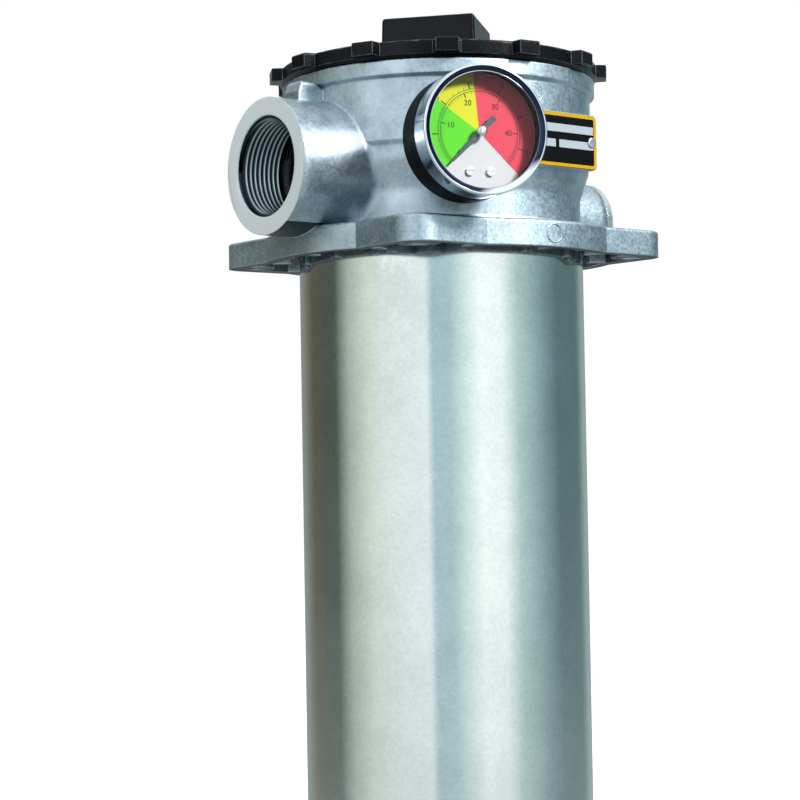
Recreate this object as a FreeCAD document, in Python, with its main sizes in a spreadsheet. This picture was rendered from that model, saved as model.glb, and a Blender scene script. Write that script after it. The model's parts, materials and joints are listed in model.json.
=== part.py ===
import FreeCAD, Part
import math
import os
import re
import Sketcher
from FreeCAD import Placement, Rotation, Vector

# Tank top return filter: a die-cast head with a flange, a screw cover, a long bowl that hangs below
# the flange, a filter element with its bypass valve, and a clogging gauge.
# The origin is the centre of the flange's underside. +Z points up, the inlet port faces -X,
# the nameplate faces -Y and the plugged spare port faces +X.

doc = FreeCAD.newDocument("TankTopFilter")

# Driving dimensions, in millimetres and degrees
SIZES = {
    # Bowl
    "tube_radius": 63.0, "tube_wall": 2.0, "bowl_drop": 300.0, "bowl_insert": 8.5, "bowl_floor": 3.0,
    "bowl_corner": 9.0, "outlet_radius": 18.0, "outlet_collar": 18.0, "outlet_wall": 2.0,
    # Flange: each part of the head stands out from the one before it, beginning at the tube
    "flange_margin": 8.5, "flange_corner": 12.0, "disc_margin": 15.8, "flange_height": 11.2,
    "flange_rim": 5.0, "flange_hollow": 6.5, "flange_rounding": 1.2, "seat_ring": 5.0, "bolt_edge": 12.0,
    "bolt_hole_radius": 4.5, "bolt_boss_radius": 8.5, "rib_width": 4.0, "rib_count": 12.0,
    # Head body
    "waist_inset": 0.7, "waist_top": 26.0, "belly_swell": 4.0, "belly_bottom": 38.0, "root_fillet": 3.0,
    "step_level": 43.6, "step_height": 2.0, "step_width": 1.0, "band_level": 72.3, "band_step": 2.1,
    "band_chamfer": 1.1, "head_height": 78.2, "waist_wall": 5.3, "belly_wall": 6.3, "neck_wall": 5.8, "neck_depth": 15.0,
    # Inlet port
    "port_level": 36.4, "port_length": 26.1, "port_boss_radius": 28.8, "port_bore": 18.6,
    "port_thread_radius": 20.955, "port_thread_length": 24.0, "port_mouth": 21.5, "port_fillet": 3.5,
    # Lug on top of the port boss
    "lug_distance": 3.7, "lug_length": 8.5, "lug_top": 73.7, "lug_width": 11.0, "lug_slope": 2.0,
    "lug_shoulder": 5.0, "lug_rounding": 2.4,
    # Spare port and its plug
    "spare_level": 22.4, "spare_length": 17.0, "spare_radius": 19.2, "spare_bore": 13.2, "spare_depth": 16.0,
    "plug_length": 13.0, "plug_head": 4.0, "plug_edge": 1.0, "plug_socket": 7.0, "plug_socket_depth": 4.5,
    "washer_thickness": 1.0, "washer_clearance": 0.1, "washer_edge": 0.6,
    # Nameplate, its pad and its rivets
    "plate_width": 51.6, "plate_shift": 3.5, "plate_height": 22.8, "plate_level": 46.6, "pad_height": 2.7, "plate_corner": 2.2,
    "plate_thickness": 0.6, "pad_margin": 0.4, "rivet_radius": 1.3, "rivet_pitch": 45.7, "rivet_depth": 5.0,
    "rivet_gap": 0.5, "rivet_head": 2.2, "rivet_head_height": 0.9, "rivet_dome": 0.6,
    # Gauge on its boss
    "gauge_angle": -18.8, "gauge_shift": -17.4, "gauge_stand": 30.9, "gauge_level": 42.8,
    "gauge_boss_radius": 11.0, "gauge_boss_height": 3.7, "gauge_thread": 5.72, "gauge_thread_length": 9.0,
    "gauge_hex": 14.0, "gauge_washer_edge": 2.0,
    # Gauge case, bezel and lens
    "bezel_radius": 26.2, "bezel_opening": 23.1, "bezel_skirt": 11.5, "bezel_wall": 0.8, "bezel_lip": 0.4,
    "bezel_crown": 1.2, "case_depth": 26.5, "case_wall": 1.4, "case_hole_gap": 1.3, "case_edge": 0.8,
    "lens_thickness": 1.6, "lens_recess": 1.6, "lens_seal": 0.6, "shell_gap": 0.1,
    # Dial and pointer
    "dial_recess": 8.0, "dial_thickness": 0.8, "dial_screw_x": 4.4, "dial_screw_y": 15.8,
    "dial_screw_radius": 1.7, "dial_screw_height": 0.9, "dial_screw_slot": 0.44, "dial_slot_depth": 0.5,
    "pointer_start": 135.0, "pointer_tip": 17.5, "pointer_tail": 8.2, "pointer_height": 2.2,
    "pointer_thickness": 0.4, "pointer_neck": 3.0, "pointer_point": 0.35, "pointer_width": 1.0,
    "pointer_tail_width": 1.35, "spindle_radius": 0.9, "spindle_depth": 6.5, "hub_collar": 0.7, "hub_cap": 2.1,
    "hub_cap_height": 1.5, "hub_dome": 1.2,
    # Movement, tube, link and socket inside the gauge
    "movement_width": 16.0, "movement_depth": 14.0, "movement_height": 7.0, "spring_tube_centre": 16.5,
    "spring_tube_radius": 1.8, "spring_tube_sweep": 270.0, "spring_tube_level": 12.3, "link_width": 2.0,
    "socket_arm_width": 6.0, "socket_arm_thickness": 4.6, "socket_arm_low": 19.0, "socket_arm_high": 10.0,
    # Screw cover
    "cover_lugs": 13.0, "cover_lug_angle": -35.8, "cover_overhang": 1.0, "cover_lug_reach": 4.5,
    "cover_lug_base": 12.4, "cover_lug_tip": 9.6, "cover_rim": 7.6, "cover_foot": 1.8, "cover_web": 3.6, "cover_rim_wall": 6.0,
    "cover_rim_slope": 2.0, "cover_spigot": 12.5, "cover_spigot_wall": 5.5, "cover_clearance": 0.4,
    "cover_rounding": 0.9, "cover_seal_level": 7.5, "knob_base": 42.6, "knob_top": 41.2, "knob_angle": -50.5,
    "knob_height": 28.8, "knob_wall": 4.0, "knob_rounding": 1.5,
    # Filter element
    "media_radius": 42.0, "media_bore": 24.6, "media_pleats": 56.0, "media_sheet": 1.6,
    "core_radius": 24.2, "core_wall": 1.0, "core_hole_radius": 3.4, "core_hole_rows": 14.0, "core_columns": 6.0,
    "cap_radius": 44.0, "cap_thickness": 2.0, "cap_rim": 8.0, "cap_rim_wall": 1.0, "cap_clearance": 0.3,
    "element_top": 57.0, "spring_guide_height": 3.0, "spring_guide_wall": 1.5,
    # Bypass valve
    "valve_seat_radius": 12.5, "poppet_radius": 15.0, "poppet_thickness": 2.4, "poppet_boss": 1.5,
    "stem_radius": 2.5, "stem_length": 36.0, "cage_radius": 22.0, "cage_depth": 34.0, "cage_wall": 1.6,
    "window_width": 14.0, "window_low": 4.6, "window_high": 29.0, "window_count": 4.0,
    "valve_spring_radius": 8.5, "valve_spring_wire": 1.3, "valve_spring_coils": 6.0,
    # Springs, seals and fits
    "hold_spring_radius": 24.0, "hold_spring_wire": 2.6, "hold_spring_coils": 2.5, "spring_gap": 0.1,
    "seal_section": 1.2, "seal_land": 3.0, "cover_seal_section": 1.5, "element_seal_section": 1.35,
    "seal_clearance": 0.05, "pin_clearance": 0.03, "stem_clearance": 0.06, "spindle_clearance": 0.05,
    # How far a cut or a pad runs past the face that it meets
    "overrun": 1.0,
}

sheet = doc.addObject("Spreadsheet::Sheet", "Sizes")
for row, (alias, number) in enumerate(SIZES.items(), start=1):
    sheet.set("A%d" % row, alias)
    sheet.set("B%d" % row, str(number))
    sheet.setAlias("B%d" % row, alias)
doc.recompute()

# Only the words that are aliases get the sheet's name put before them
WORD = re.compile(r"\b[a-z_]+\b")


def bound(text):
    """Turns "tube_radius - tube_wall" into an expression that reads the sheet."""
    return WORD.sub(lambda m: "Sizes." + m.group() if m.group() in SIZES else m.group(), text)


def size(text):
    """The number that an expression gives now."""
    result = sheet.evalExpression(bound(text))
    return float(getattr(result, "Value", result))


# Sketch and feature helpers
def new_body(label):
    body = doc.addObject("PartDesign::Body", label)
    body.Label = label
    return body


def plane_of(body, role):
    return next(item for item in body.Origin.OriginFeatures if item.Role == role)


def new_sketch(body, name, role="XY_Plane", offset=None):
    sketch = body.newObject("Sketcher::SketchObject", body.Label + "_" + name)
    sketch.AttachmentSupport = [(plane_of(body, role), "")]
    sketch.MapMode = "FlatFace"
    if offset is not None:
        sketch.AttachmentOffset = offset
    return sketch


def bind_distance(sketch, kind, geometry, point, text):
    """Sets how far a point is from the origin, whichever side of it the point lies on."""
    number = size(text)
    if abs(number) < 1e-9:
        axis = -2 if kind == "DistanceX" else -1
        sketch.addConstraint(Sketcher.Constraint("PointOnObject", geometry, point, axis))
        return
    ends = (-1, 1, geometry, point) if number > 0 else (geometry, point, -1, 1)
    index = sketch.addConstraint(Sketcher.Constraint(kind, *ends, abs(number)))
    sketch.setExpression("Constraints[%d]" % index, bound(text if number > 0 else "-(" + text + ")"))


def add_polygon(sketch, points):
    """A closed outline whose corners are pairs of expressions."""
    corners = [Vector(size(x), size(y), 0) for x, y in points]
    first = sketch.GeometryCount
    count = len(corners)
    for index, corner in enumerate(corners):
        sketch.addGeometry(Part.LineSegment(corner, corners[(index + 1) % count]), False)
    for index in range(count):
        follower = first + (index + 1) % count
        sketch.addConstraint(Sketcher.Constraint("Coincident", first + index, 2, follower, 1))
    for index, (x, y) in enumerate(points):
        bind_distance(sketch, "DistanceX", first + index, 1, x)
        bind_distance(sketch, "DistanceY", first + index, 1, y)


def add_circle(sketch, radius, x="0", y="0"):
    centre = Vector(size(x), size(y), 0)
    index = sketch.addGeometry(Part.Circle(centre, Vector(0, 0, 1), size(radius)), False)
    ring = sketch.addConstraint(Sketcher.Constraint("Radius", index, size(radius)))
    sketch.setExpression("Constraints[%d]" % ring, bound(radius))
    bind_distance(sketch, "DistanceX", index, 3, x)
    bind_distance(sketch, "DistanceY", index, 3, y)


def add_rectangle(sketch, x_low, x_high, y_low, y_high):
    add_polygon(sketch, [(x_low, y_low), (x_high, y_low), (x_high, y_high), (x_low, y_high)])


def extrude(body, sketch, kind, length, flip=False, midplane=False):
    """Pads or pockets a sketch by a length from the sheet."""
    feature = body.newObject("PartDesign::" + kind, sketch.Label + "_" + kind.lower())
    feature.Profile = sketch
    feature.Reversed = flip
    feature.Midplane = midplane
    feature.setExpression("Length", bound(length))
    sketch.Visibility = False
    doc.recompute()
    return feature


def spin(body, sketch, kind="Revolution"):
    """Turns a profile of radius and height about the vertical axis."""
    feature = body.newObject("PartDesign::" + kind, sketch.Label + "_" + kind.lower())
    feature.Profile = sketch
    feature.ReferenceAxis = (sketch, ["V_Axis"])
    feature.Angle = 360.0
    doc.recompute()
    return feature


def turned(label, points, name="profile"):
    """A body made by turning one profile."""
    body = new_body(label)
    sketch = new_sketch(body, name, "XZ_Plane")
    add_polygon(sketch, points)
    spin(body, sketch)
    return body


def pattern_round(body, feature, copies, name):
    """Repeats a feature about the vertical axis."""
    pattern = body.newObject("PartDesign::PolarPattern", body.Label + "_" + name)
    pattern.Originals = [feature]
    pattern.Axis = (plane_of(body, "Z_Axis"), [""])
    pattern.Angle = 360.0
    pattern.Occurrences = int(round(copies))
    body.Tip = pattern
    doc.recompute()
    return pattern


def edge_names(shape, wanted):
    return ["Edge%d" % (i + 1) for i, edge in enumerate(shape.Edges) if wanted(edge)]


def soften(body, wanted, amount, kind="Fillet", name="rounding"):
    """Fillets or chamfers the edges of the body's tip that a test picks."""
    base = body.Tip
    names = edge_names(base.Shape, wanted)
    feature = body.newObject("PartDesign::" + kind, body.Label + "_" + name)
    feature.Base = (base, names)
    feature.setExpression("Radius" if kind == "Fillet" else "Size", bound(amount))
    doc.recompute()
    return feature


def is_circle(edge, radius, level):
    """True for a level circle of that radius at that height."""
    curve = edge.Curve
    return (isinstance(curve, Part.Circle) and abs(curve.Radius - radius) < 0.01
            and abs(abs(curve.Axis.z) - 1) < 1e-6 and abs(curve.Center.z - level) < 0.01)


def is_upright(edge):
    """True for a straight vertical edge."""
    if not isinstance(edge.Curve, Part.Line):
        return False
    return abs(abs(edge.Curve.Direction.z) - 1) < 1e-6


def raise_to(feature, text):
    feature.setExpression("Placement.Base.z", bound(text))


def ring(label, centre_radius, section, level):
    """An O-ring."""
    torus = doc.addObject("Part::Torus", label)
    torus.Label = label
    torus.setExpression("Radius1", bound(centre_radius))
    torus.setExpression("Radius2", bound(section))
    raise_to(torus, level)
    return torus


def shaped(label, shape, placement=None):
    """A piece whose shape is worked out here from the sheet's sizes."""
    feature = doc.addObject("Part::Feature", label)
    feature.Label = label
    feature.Shape = shape
    if placement is not None:
        feature.Placement = placement
    return feature


# Levels and radii that several pieces share
COVER_BASE = "head_height"
ELEMENT_FLOOR = "(-bowl_drop + bowl_floor)"
COLLAR_RADIUS = "(outlet_radius + outlet_wall)"
SEAT_RADIUS = "(tube_radius + seat_ring)"
DISC_RADIUS = "(tube_radius + disc_margin)"
FLANGE_HALF = "(tube_radius + flange_margin)"
BOLT_PLACE = "(" + FLANGE_HALF + " - bolt_edge)"
WAIST_RADIUS = "(tube_radius - waist_inset)"
BELLY_RADIUS = "(" + WAIST_RADIUS + " + belly_swell)"
BODY_RADIUS = "(" + BELLY_RADIUS + " + step_width)"
BAND_RADIUS = "(" + BODY_RADIUS + " + band_step)"
WAIST_BORE = "(" + WAIST_RADIUS + " - waist_wall)"
BELLY_BORE = "(" + BELLY_RADIUS + " - belly_wall)"
NECK_BORE = "(" + BODY_RADIUS + " - neck_wall)"
PORT_FACE = "(" + BODY_RADIUS + " + port_length)"
SPARE_FACE = "(" + BODY_RADIUS + " + spare_length)"
LUG_INNER = "(" + BODY_RADIUS + " + lug_distance)"
LUG_OUTER = "(" + LUG_INNER + " + lug_length)"
PAD_FACE = "(" + BODY_RADIUS + " + pad_height)"
GAUGE_SEAT = "(" + BODY_RADIUS + " + gauge_boss_height)"
GAUGE_FRONT = "(" + GAUGE_SEAT + " + gauge_stand)"
COVER_RADIUS = "(" + BAND_RADIUS + " + cover_overhang)"
COVER_LUG_RADIUS = "(" + COVER_RADIUS + " + cover_lug_reach)"
DIAL_BACK = "(dial_recess + dial_thickness)"


# Head: one die casting with flange, bosses, pad and machined bores
def flange_blank(body):
    square = new_sketch(body, "square")
    add_rectangle(square, "-" + FLANGE_HALF, FLANGE_HALF, "-" + FLANGE_HALF, FLANGE_HALF)
    extrude(body, square, "Pad", "flange_height")
    soften(body, is_upright, "flange_corner", name="corners")
    disc = new_sketch(body, "disc")
    add_circle(disc, DISC_RADIUS)
    extrude(body, disc, "Pad", "flange_height")
    top = size("flange_height")
    soften(body, lambda edge: all(abs(vertex.Z - top) < 0.01 for vertex in edge.Vertexes), "flange_rounding",
           name="top_edge")


def head_core(body):
    """The waist and the belly, which the port boss runs into."""
    sketch = new_sketch(body, "core", "XZ_Plane")
    add_polygon(sketch, [
        ("0", "0"), (WAIST_RADIUS, "0"), (WAIST_RADIUS, "waist_top"), (BELLY_RADIUS, "belly_bottom"),
        (BELLY_RADIUS, "head_height"), ("0", "head_height")])
    spin(body, sketch)


def port_boss(body):
    port = new_sketch(body, "port_boss", "YZ_Plane")
    add_circle(port, "port_boss_radius", "0", "port_level")
    extrude(body, port, "Pad", PORT_FACE, flip=True)
    radius, face, level = size("port_boss_radius"), -size(PORT_FACE), size("port_level")
    flange_top = size("flange_height")

    def on_boss(edge):
        """True where the boss runs into the body above the flange."""
        if isinstance(edge.Curve, Part.Line):
            return False
        first, span = edge.FirstParameter, edge.LastParameter - edge.FirstParameter
        spots = [edge.valueAt(first + share * span) for share in (0.1, 0.5, 0.9)]
        return all(abs(math.hypot(spot.y, spot.z - level) - radius) < 0.01 and spot.x > face + 1
                   and spot.z > flange_top + 0.05 for spot in spots)

    soften(body, on_boss, "port_fillet", name="port_fillet")


def head_rings(body):
    """The thicker body above the step, the band under the cover and the waist's foot."""
    upper = new_sketch(body, "upper", "XZ_Plane")
    add_polygon(upper, [
        (NECK_BORE, "step_level"), (BELLY_RADIUS, "step_level"), (BODY_RADIUS, "step_level + step_height"),
        (BODY_RADIUS, "band_level - band_chamfer"), (BAND_RADIUS, "band_level"), (BAND_RADIUS, "head_height"),
        (NECK_BORE, "head_height")])
    spin(body, upper)
    foot = new_sketch(body, "foot", "XZ_Plane")
    middle = "root_fillet * (1 - cos(45 deg))"
    add_polygon(foot, [
        (WAIST_BORE, "flange_height"), (WAIST_RADIUS + " + root_fillet", "flange_height"),
        (WAIST_RADIUS + " + " + middle, "flange_height + " + middle),
        (WAIST_RADIUS, "flange_height + root_fillet"), (WAIST_BORE, "flange_height + root_fillet")])
    spin(body, foot)


def head_bosses(body):
    spare = new_sketch(body, "spare_boss", "YZ_Plane")
    add_circle(spare, "spare_radius", "0", "spare_level")
    extrude(body, spare, "Pad", SPARE_FACE)
    lug = new_sketch(body, "lug", "XZ_Plane")
    inside = "-(" + BODY_RADIUS + " - lug_slope)"
    outer, inner = "-" + LUG_OUTER, "-" + LUG_INNER
    add_polygon(lug, [
        (outer + " - lug_slope", "port_level"), (outer, "lug_top - lug_shoulder"),
        (outer + " + lug_slope", "lug_top"), (inner + " - lug_slope", "lug_top"),
        (inside, "lug_top - lug_shoulder"), (inside, "port_level")])
    extrude(body, lug, "Pad", "lug_width", midplane=True)
    tip, half_lug, start = size("lug_top"), size("lug_width / 2"), size(LUG_INNER)

    def on_lug(edge):
        """True round the lug's flat top and down its outer corners."""
        ends = [vertex.Point for vertex in edge.Vertexes]
        if not isinstance(edge.Curve, Part.Line) or len(ends) < 2:
            return False
        top = all(abs(end.z - tip) < 0.01 and end.x < -start for end in ends)
        crosses = abs(ends[0].y + ends[1].y) < 0.01 and abs(abs(ends[0].y) - half_lug) < 0.01
        return top or (crosses and all(end.z > tip - 2 * size("lug_shoulder") and end.x < -start for end in ends))

    soften(body, on_lug, "lug_rounding", name="lug_edges")
    pad = new_sketch(body, "pad", "XZ_Plane")
    half_width = "(plate_width / 2 + pad_margin)"
    half_height = "(plate_height / 2 + pad_margin)"
    add_rectangle(pad, "plate_shift - " + half_width, "plate_shift + " + half_width,
                  "plate_level - " + half_height, "plate_level + " + half_height)
    extrude(body, pad, "Pad", PAD_FACE)
    front = -size(PAD_FACE)

    def on_pad(edge):
        """True for the pad's four corners, which run back from its face."""
        if not isinstance(edge.Curve, Part.Line) or abs(abs(edge.Curve.Direction.y) - 1) > 1e-6:
            return False
        return abs(min(vertex.Y for vertex in edge.Vertexes) - front) < 0.01

    soften(body, on_pad, "plate_corner", name="pad_corners")
    sketch = new_sketch(body, "gauge_boss", "XZ_Plane", gauge_turn())
    add_circle(sketch, "gauge_boss_radius", "gauge_shift", "gauge_level")
    extrude(body, sketch, "Pad", GAUGE_SEAT)


def in_front(text):
    """Moves a sketch on the XZ plane out to a distance in front of the axis."""
    return Placement(Vector(0, 0, size(text)), Rotation())


def gauge_turn():
    """Turns a sketch on the XZ plane so that it faces along the gauge's axis."""
    return Placement(Vector(0, 0, 0), Rotation(Vector(0, 1, 0), size("gauge_angle")))


def head_cavity(body):
    """The bowl's socket with its seal groove, the oil space and the neck that the cover closes."""
    sketch = new_sketch(body, "cavity", "XZ_Plane")
    groove = "tube_radius + 2 * (seal_section + seal_clearance)"
    groove_top = "seal_land + 2 * (seal_section + seal_clearance)"
    add_polygon(sketch, [
        ("0", "0"), ("tube_radius", "0"), ("tube_radius", "seal_land"), (groove, "seal_land"),
        (groove, groove_top), ("tube_radius", groove_top), ("tube_radius", "bowl_insert"),
        (WAIST_BORE, "bowl_insert"), (WAIST_BORE, "waist_top"), (BELLY_BORE, "belly_bottom"),
        (BELLY_BORE, "head_height - neck_depth"), (NECK_BORE, "head_height - neck_depth"),
        (NECK_BORE, "head_height"), ("0", "head_height")])
    spin(body, sketch, "Groove")


def flange_underside(body):
    """Hollows the flange from below and leaves a rim and the ring round the bowl."""
    annulus = new_sketch(body, "annulus")
    add_circle(annulus, DISC_RADIUS + " - flange_rim")
    add_circle(annulus, SEAT_RADIUS)
    extrude(body, annulus, "Pocket", "flange_hollow", flip=True)
    far = "(" + FLANGE_HALF + " - flange_rim)"
    near = "(" + FLANGE_HALF + " - flange_rim - flange_corner * 0.6)"
    corners = new_sketch(body, "hollow_corners")
    add_polygon(corners, [
        (near, "-" + far), (far, "-" + near), (far, near), (near, far), ("-" + near, far), ("-" + far, near),
        ("-" + far, "-" + near), ("-" + near, "-" + far)])
    add_circle(corners, SEAT_RADIUS + " + pin_clearance")
    extrude(body, corners, "Pocket", "flange_hollow", flip=True)


def flange_bolting(body):
    spots = [(x + BOLT_PLACE, y + BOLT_PLACE) for x, y in (("-", "-"), ("", "-"), ("", ""), ("-", ""))]
    bosses = new_sketch(body, "bolt_bosses")
    for x, y in spots:
        add_circle(bosses, "bolt_boss_radius", x, y)
    extrude(body, bosses, "Pad", "flange_height")
    rib = new_sketch(body, "rib")
    add_rectangle(rib, SEAT_RADIUS + " - overrun", DISC_RADIUS + " - flange_rim + overrun",
                  "-rib_width / 2", "rib_width / 2")
    web = extrude(body, rib, "Pad", "flange_hollow + overrun")
    pattern_round(body, web, size("rib_count"), "ribs")
    holes = new_sketch(body, "bolt_holes")
    for x, y in spots:
        add_circle(holes, "bolt_hole_radius", x, y)
    extrude(body, holes, "Pocket", "flange_height + overrun", flip=True)


def head_ports(body):
    """The inlet's passage and thread, the spare port, the gauge's port and the rivets' holes."""
    inlet = new_sketch(body, "inlet", "YZ_Plane")
    add_circle(inlet, "port_bore", "0", "port_level")
    extrude(body, inlet, "Pocket", PORT_FACE + " + overrun")
    thread = new_sketch(body, "inlet_thread", "YZ_Plane",
                        Placement(Vector(0, 0, size("port_thread_length - " + PORT_FACE)), Rotation()))
    add_circle(thread, "port_thread_radius", "0", "port_level")
    extrude(body, thread, "Pocket", "port_thread_length + overrun")
    face, mouth = -size(PORT_FACE), size("port_thread_radius")
    soften(body, lambda edge: isinstance(edge.Curve, Part.Circle) and abs(edge.Curve.Center.x - face) < 0.01
           and abs(edge.Curve.Radius - mouth) < 0.01, "port_mouth - port_thread_radius", "Chamfer", "mouth")
    spare = new_sketch(body, "spare_hole", "YZ_Plane",
                       Placement(Vector(0, 0, size(SPARE_FACE + " - spare_depth")), Rotation()))
    add_circle(spare, "spare_bore", "0", "spare_level")
    extrude(body, spare, "Pocket", "spare_depth + overrun", flip=True)
    gauge = new_sketch(body, "gauge_hole", "XZ_Plane", gauge_turn())
    add_circle(gauge, "gauge_thread", "gauge_shift", "gauge_level")
    extrude(body, gauge, "Pocket", GAUGE_SEAT + " + overrun", flip=True)
    rivets = new_sketch(body, "rivet_holes", "XZ_Plane", in_front(PAD_FACE + " - rivet_depth"))
    for side in ("-", "+"):
        add_circle(rivets, "rivet_radius", "plate_shift " + side + " rivet_pitch / 2", "plate_level")
    extrude(body, rivets, "Pocket", "rivet_depth + overrun", flip=True)


def make_head():
    body = new_body("filter_head")
    flange_blank(body)
    head_core(body)
    port_boss(body)
    head_rings(body)
    head_bosses(body)
    head_cavity(body)
    flange_underside(body)
    flange_bolting(body)
    head_ports(body)


# Bowl: one drawn tube with a rounded floor and an inward collar round the outlet
def make_bowl():
    body = turned("bowl", [
        ("outlet_radius", "0"), ("tube_radius", "0"), ("tube_radius", "bowl_drop + bowl_insert"),
        ("tube_radius - tube_wall", "bowl_drop + bowl_insert"), ("tube_radius - tube_wall", "bowl_floor"),
        (COLLAR_RADIUS, "bowl_floor"), (COLLAR_RADIUS, "outlet_collar"), ("outlet_radius", "outlet_collar")])
    outside, inside = size("tube_radius"), size("tube_radius - tube_wall")
    floor = size("bowl_floor")
    soften(body, lambda edge: is_circle(edge, outside, 0), "bowl_corner", name="outer_corner")
    soften(body, lambda edge: is_circle(edge, inside, floor), "bowl_corner - tube_wall", name="inner_corner")
    raise_to(body, "-bowl_drop")


# Cover: moulded, with grip lugs round its rim, a square key knob and a spigot that carries its seal
def make_cover():
    spigot = "(" + NECK_BORE + " - cover_clearance)"
    groove = "(" + NECK_BORE + " - 2 * (cover_seal_section + seal_clearance))"
    groove_low = "-(cover_seal_level + cover_seal_section + seal_clearance)"
    groove_high = "-(cover_seal_level - cover_seal_section - seal_clearance)"
    body = turned("screw_cover", [
        ("0", "0"), (spigot + " - cover_spigot_wall", "0"), (spigot + " - cover_spigot_wall", "-cover_spigot"),
        (spigot, "-cover_spigot"), (spigot, groove_low), (groove, groove_low), (groove, groove_high),
        (spigot, groove_high), (spigot, "0"), (COVER_RADIUS + " - cover_foot", "0"), (COVER_RADIUS, "cover_foot"),
        (COVER_RADIUS, "cover_rim"),
        (COVER_RADIUS + " - cover_rim_wall", "cover_rim"),
        (COVER_RADIUS + " - cover_rim_wall - cover_rim_slope", "cover_web"), ("0", "cover_web")])
    lug = new_sketch(body, "lug", "XY_Plane", Placement(Vector(0, 0, size("cover_foot")), Rotation()))
    add_polygon(lug, [
        (COVER_RADIUS + " - cover_rim_slope", "-cover_lug_base / 2"), (COVER_LUG_RADIUS, "-cover_lug_tip / 2"),
        (COVER_LUG_RADIUS, "cover_lug_tip / 2"), (COVER_RADIUS + " - cover_rim_slope", "cover_lug_base / 2")])
    grip = extrude(body, lug, "Pad", "cover_rim - cover_foot")
    pattern_round(body, grip, size("cover_lugs"), "lugs")
    knob_on_cover(body)
    rim_top, inner = size("cover_rim"), size(COVER_RADIUS + " - cover_rim_slope / 2")

    def on_rim(edge):
        level = all(abs(vertex.Z - rim_top) < 0.01 for vertex in edge.Vertexes)
        return level and abs(edge.CenterOfMass.z - rim_top) < 0.01 and all(
            math.hypot(vertex.X, vertex.Y) > inner for vertex in edge.Vertexes)

    soften(body, on_rim, "cover_rounding", name="rim_edge")
    turn = size("cover_lug_angle") - 90
    body.Placement = Placement(Vector(0, 0, 0), Rotation(Vector(0, 0, 1), turn))
    raise_to(body, COVER_BASE)


def knob_on_cover(body):
    """A tapered square box, open below, that stands on the web."""
    turn = size("knob_angle - cover_lug_angle")
    foot = "cover_web / 2"

    def square(name, level, half):
        sketch = new_sketch(body, name, "XY_Plane",
                            Placement(Vector(0, 0, size(level)), Rotation(Vector(0, 0, 1), turn)))
        add_rectangle(sketch, "-" + half, half, "-" + half, half)
        return sketch

    draft = "atan((knob_base - knob_top) / 2 / (knob_height - cover_web))"
    outside = extrude(body, square("knob", foot, "(knob_base / 2)"), "Pad", "knob_height - " + foot)
    outside.setExpression("TaperAngle", bound("-" + draft))
    doc.recompute()
    web, crown, reach = size("cover_web"), size("knob_height"), size("knob_base")

    def on_knob(edge):
        heights = [vertex.Z for vertex in edge.Vertexes]
        near = all(math.hypot(vertex.X, vertex.Y) < reach for vertex in edge.Vertexes)
        return near and max(heights) > crown - 0.1 and min(heights) > web / 2

    soften(body, on_knob, "knob_rounding", name="knob_edges")
    inside = extrude(body, square("hollow", "0", "(knob_base / 2 - knob_wall)"), "Pocket",
                     "knob_height - knob_wall", flip=True)
    inside.setExpression("TaperAngle", bound("-" + draft))
    doc.recompute()


# Filter element
def make_media():
    """One pleated sheet folded into a star, shorter than the element by both caps."""
    count = int(round(size("media_pleats")))
    tip, root, sheet_depth = size("media_radius"), size("media_bore"), size("media_sheet")

    def star(tip_radius, root_radius):
        corners = []
        for index in range(count):
            for radius, part in ((tip_radius, 0.0), (root_radius, 0.5)):
                angle = 2 * math.pi * (index + part) / count
                corners.append(Vector(radius * math.cos(angle), radius * math.sin(angle), 0))
        return Part.Wire(Part.makePolygon(corners + corners[:1]))

    wires = [star(tip, root + sheet_depth), star(tip - sheet_depth, root)]
    band = Part.makeFace(wires, "Part::FaceMakerBullseye")
    low = size(ELEMENT_FLOOR + " + cap_thickness")
    height = size("element_top - cap_thickness") - low
    shaped("element_media", band.extrude(Vector(0, 0, height)), Placement(Vector(0, 0, low), Rotation()))


def make_core():
    length = "(element_top - 2 * cap_thickness - " + ELEMENT_FLOOR + ")"
    body = turned("element_core", [
        ("core_radius - core_wall", "0"), ("core_radius", "0"), ("core_radius", length),
        ("core_radius - core_wall", length)])
    holes = new_sketch(body, "holes", "YZ_Plane")
    rows = int(round(size("core_hole_rows")))
    for row in range(rows):
        add_circle(holes, "core_hole_radius", "0", "%s * %g" % (length, (row + 0.5) / rows))
    column = extrude(body, holes, "Pocket", "core_radius + overrun", flip=True)
    pattern_round(body, column, size("core_columns"), "columns")
    raise_to(body, ELEMENT_FLOOR + " + cap_thickness")


def make_caps():
    """The bottom cap slides over the outlet's collar, the top cap holds the bypass valve's seat."""
    hole = COLLAR_RADIUS + " + cap_clearance"
    rim_inside = "cap_radius - cap_rim_wall"
    bottom = turned("element_bottom_cap", [
        (hole, "0"), ("cap_radius", "0"), ("cap_radius", "cap_rim"), (rim_inside, "cap_rim"),
        (rim_inside, "cap_thickness"), (hole, "cap_thickness")])
    raise_to(bottom, ELEMENT_FLOOR)
    guide = "hold_spring_radius - hold_spring_wire"
    top = turned("element_top_cap", [
        ("valve_seat_radius", "-cap_thickness"), (rim_inside, "-cap_thickness"), (rim_inside, "-cap_rim"),
        ("cap_radius", "-cap_rim"), ("cap_radius", "0"), (guide, "0"), (guide, "spring_guide_height"),
        (guide + " - spring_guide_wall", "spring_guide_height"), (guide + " - spring_guide_wall", "0"),
        ("valve_seat_radius", "0")])
    raise_to(top, "element_top")


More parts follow.
